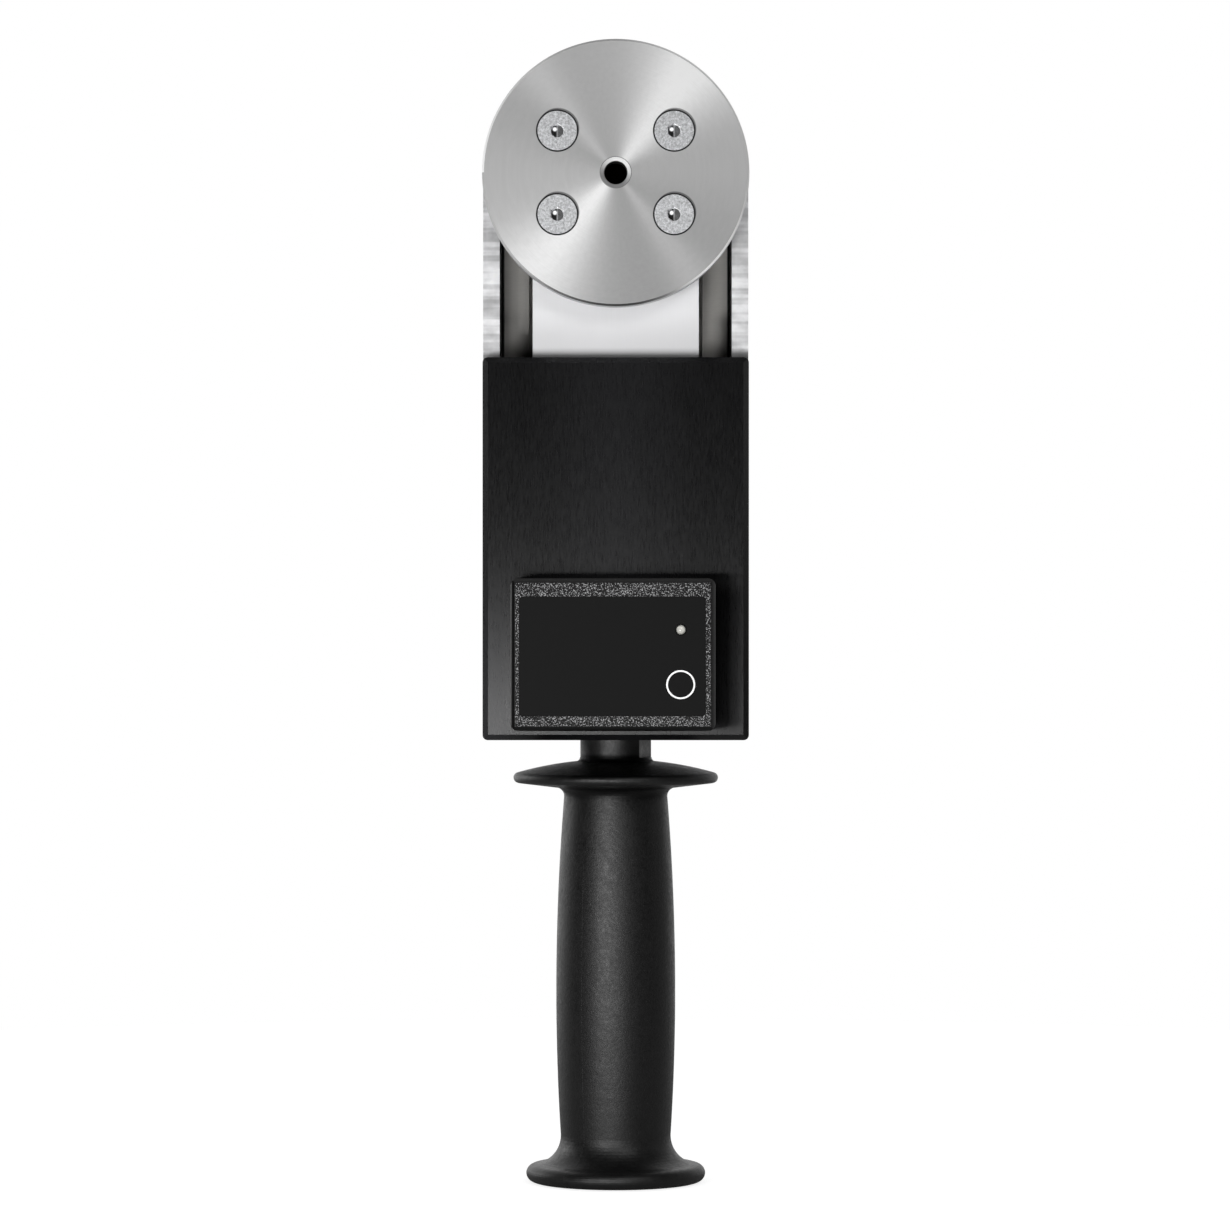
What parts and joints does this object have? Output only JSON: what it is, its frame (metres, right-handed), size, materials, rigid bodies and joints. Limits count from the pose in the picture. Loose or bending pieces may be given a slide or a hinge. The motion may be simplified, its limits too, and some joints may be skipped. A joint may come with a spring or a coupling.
{
  "type": "closing force gauge",
  "caption": "Handheld closing force gauge: round metal contact disc sprung in a slim frame, black cover with a small electronics box, moulded grip handle.",
  "frame": {"origin": "centre of the handle's flat end face, on the handle's axis", "axes": "+Z along the handle's axis towards the contact disc, -Y the way the disc's face looks"},
  "size_m": [0.08, 0.0661, 0.3445],
  "materials": {
    "frame_milled": "satin",
    "cover_anodised": "satin",
    "disc_turned": "satin",
    "leaf_steel": "satin",
    "block_aluminium": "satin",
    "screw_disc": "satin",
    "screw_bright": "satin",
    "screw_black": "satin",
    "handle_plastic": "satin",
    "box_plastic": "matte",
    "label_print": "matte",
    "key_plunger": "matte",
    "lamp_lens": "gloss",
    "board_laminate": "satin",
    "chip_resin": "matte",
    "shield_tin": "satin",
    "connector_nylon": "matte",
    "gauge_foil": "satin",
    "terminal_resin": "matte",
    "lead_sheath": "matte",
    "grommet_rubber": "matte"
  },
  "bodies": {
    "frame": {"frame_channel": "frame_milled", "front_cover": "cover_anodised", "cover_standoffs": "screw_bright", "cover_screws": "screw_black", "handle": "handle_plastic", "handle_stud": "screw_bright", "anchor_block": "block_aluminium", "anchor_spacer": "block_aluminium", "anchor_screws": "screw_black", "root_clamp_plate": "block_aluminium", "root_clamp_screws": "screw_black", "spring_leaf_front": "leaf_steel", "spring_leaf_rear": "leaf_steel", "stop_screws": "screw_black", "strain_gauges": "gauge_foil", "gauge_terminal": "terminal_resin", "gauge_lead": "lead_sheath", "lead_grommet": "grommet_rubber", "box_base": "box_plastic", "box_lid": "box_plastic", "box_fixing_screws": "screw_black", "label_foil": "label_print", "main_board": "board_laminate", "board_screws": "screw_bright", "board_chips": "chip_resin", "radio_module": "shield_tin", "lead_connector": "connector_nylon", "battery_holder": "chip_resin", "battery": "shield_tin", "tact_switch": "chip_resin", "status_led": "lamp_lens"},
    "head": {"contact_disc": "disc_turned", "disc_screws": "screw_disc", "head_pad": "block_aluminium", "head_block": "block_aluminium", "head_clamp_plate": "block_aluminium", "head_clamp_screws": "screw_black"},
    "key": {"key_cap": "label_print", "switch_plunger": "key_plunger"}
  },
  "joints": [
    {"name": "disc_press", "type": "slide", "parent": "frame", "child": "head", "axis": [0, 1, 0], "range_m": [0, 0.003], "stiffness_N_per_m": 500000, "deforming": ["spring_leaf_front", "spring_leaf_rear"]},
    {"name": "key_press", "type": "slide", "parent": "frame", "child": "key", "axis": [0, 1, 0], "range_m": [0, 0.0004], "stiffness_N_per_m": 4000}
  ]
}
